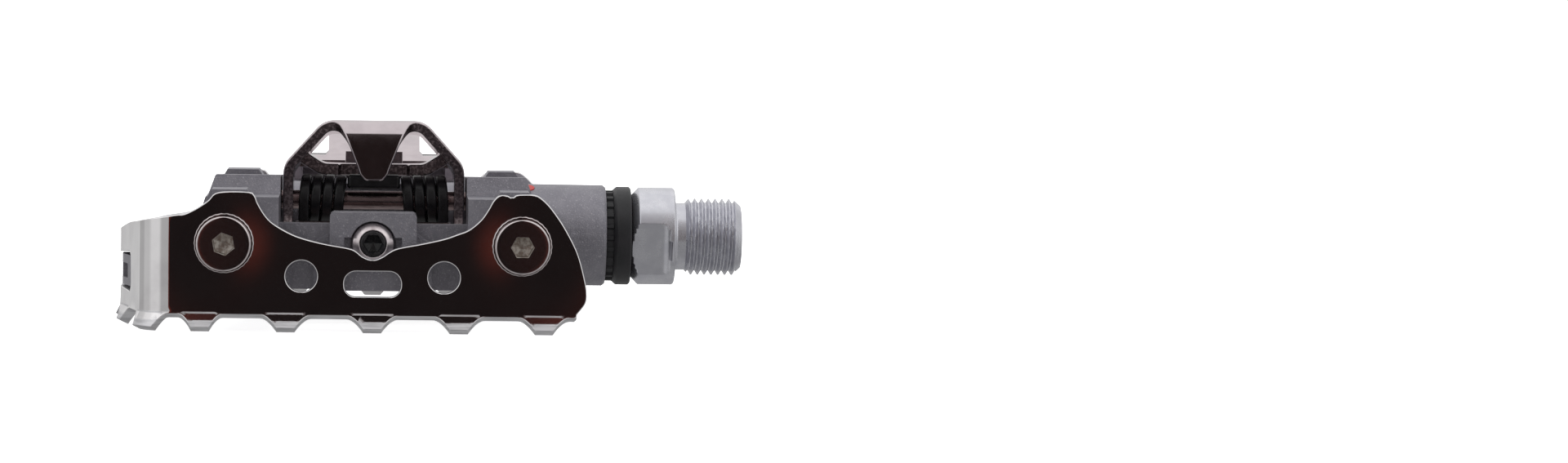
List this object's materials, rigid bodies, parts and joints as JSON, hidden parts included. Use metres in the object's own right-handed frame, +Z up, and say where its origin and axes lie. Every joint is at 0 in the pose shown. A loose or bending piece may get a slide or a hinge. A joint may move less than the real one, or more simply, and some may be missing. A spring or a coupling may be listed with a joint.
{
  "type": "clipless bicycle pedal",
  "caption": "Left bicycle pedal with a spring-loaded cleat binding on top and a toothed steel cage platform below, on a threaded spindle.",
  "frame": {"origin": "on the spindle axis, where the crank thread starts", "axes": "+X along the spindle towards the crank, +Y towards the front of the bicycle, +Z up, on the side with the cleat binding"},
  "size_m": [0.1156, 0.098, 0.0369],
  "materials": {
    "ground_steel": "satin, turned",
    "seal_rubber": "matte",
    "black_resin": "satin",
    "bearing_steel": "ground",
    "grey_casting": "satin, fine cast grain",
    "red_paint": "gloss",
    "cage_chrome": "mirror",
    "dark_nickel": "dark plating",
    "claw_plating": "plated, dark pinkish",
    "front_plating": "plated, pale",
    "spring_black": "black oxide",
    "black_screw": "black oxide",
    "collar_chrome": "bright plating"
  },
  "bodies": {
    "spindle": {"spindle": "ground_steel", "outer_cone": "bearing_steel", "tab_washer": "bearing_steel", "lock_nut": "bearing_steel"},
    "pedal_body": {"pedal_body": "grey_casting", "bearing_sleeve": "bearing_steel", "lock_ring": "black_resin", "dust_seal": "seal_rubber", "end_cap": "black_resin", "side_mark": "red_paint", "cage": "cage_chrome", "serrated_washers": "dark_nickel", "cage_bolts": "dark_nickel", "claw_pin": "bearing_steel", "left_spring": "spring_black", "right_spring": "spring_black", "tension_collar": "collar_chrome", "front_claw": "front_plating", "front_claw_screws": "dark_nickel"},
    "inner_ball_set": {"inner_balls": "bearing_steel"},
    "outer_ball_set": {"outer_balls": "bearing_steel"},
    "rear_claw": {"rear_claw": "claw_plating", "spring_bridge": "spring_black"},
    "tension_bolt": {"tension_bolt": "black_screw"},
    "tension_nut": {"tension_nut": "bearing_steel"}
  },
  "joints": [
    {"name": "pedal_spin", "type": "hinge", "parent": "spindle", "child": "pedal_body", "pos_m": [-0.0582, 0, 0], "axis": [1, 0, 0], "continuous": true},
    {"name": "inner_ball_orbit", "type": "hinge", "parent": "spindle", "child": "inner_ball_set", "pos_m": [-0.0272, 0, 0], "axis": [1, 0, 0], "continuous": true},
    {"name": "outer_ball_orbit", "type": "hinge", "parent": "spindle", "child": "outer_ball_set", "pos_m": [-0.0707, 0, 0], "axis": [1, 0, 0], "continuous": true},
    {"name": "claw_open", "type": "hinge", "parent": "pedal_body", "child": "rear_claw", "pos_m": [-0.0582, -0.018, 0.007], "axis": [1, 0, 0], "range_deg": [0, 15], "stiffness_Nm_per_rad": 4, "springref_deg": -20.05},
    {"name": "tension_turn", "type": "hinge", "parent": "pedal_body", "child": "tension_bolt", "pos_m": [-0.0582, -0.04, 0.00045], "axis": [0, 1, 0], "range_deg": [0, 1080]},
    {"name": "tension_travel", "type": "slide", "parent": "pedal_body", "child": "tension_nut", "axis": [0, -1, 0], "range_m": [0, 0.0024]}
  ],
  "couplings": [
    {"joint": "inner_ball_orbit", "follows": "pedal_spin", "ratio": 0.58},
    {"joint": "outer_ball_orbit", "follows": "pedal_spin", "ratio": 0.58},
    {"joint": "tension_turn", "follows": "tension_travel", "rad_per_m": 7853.9}
  ]
}
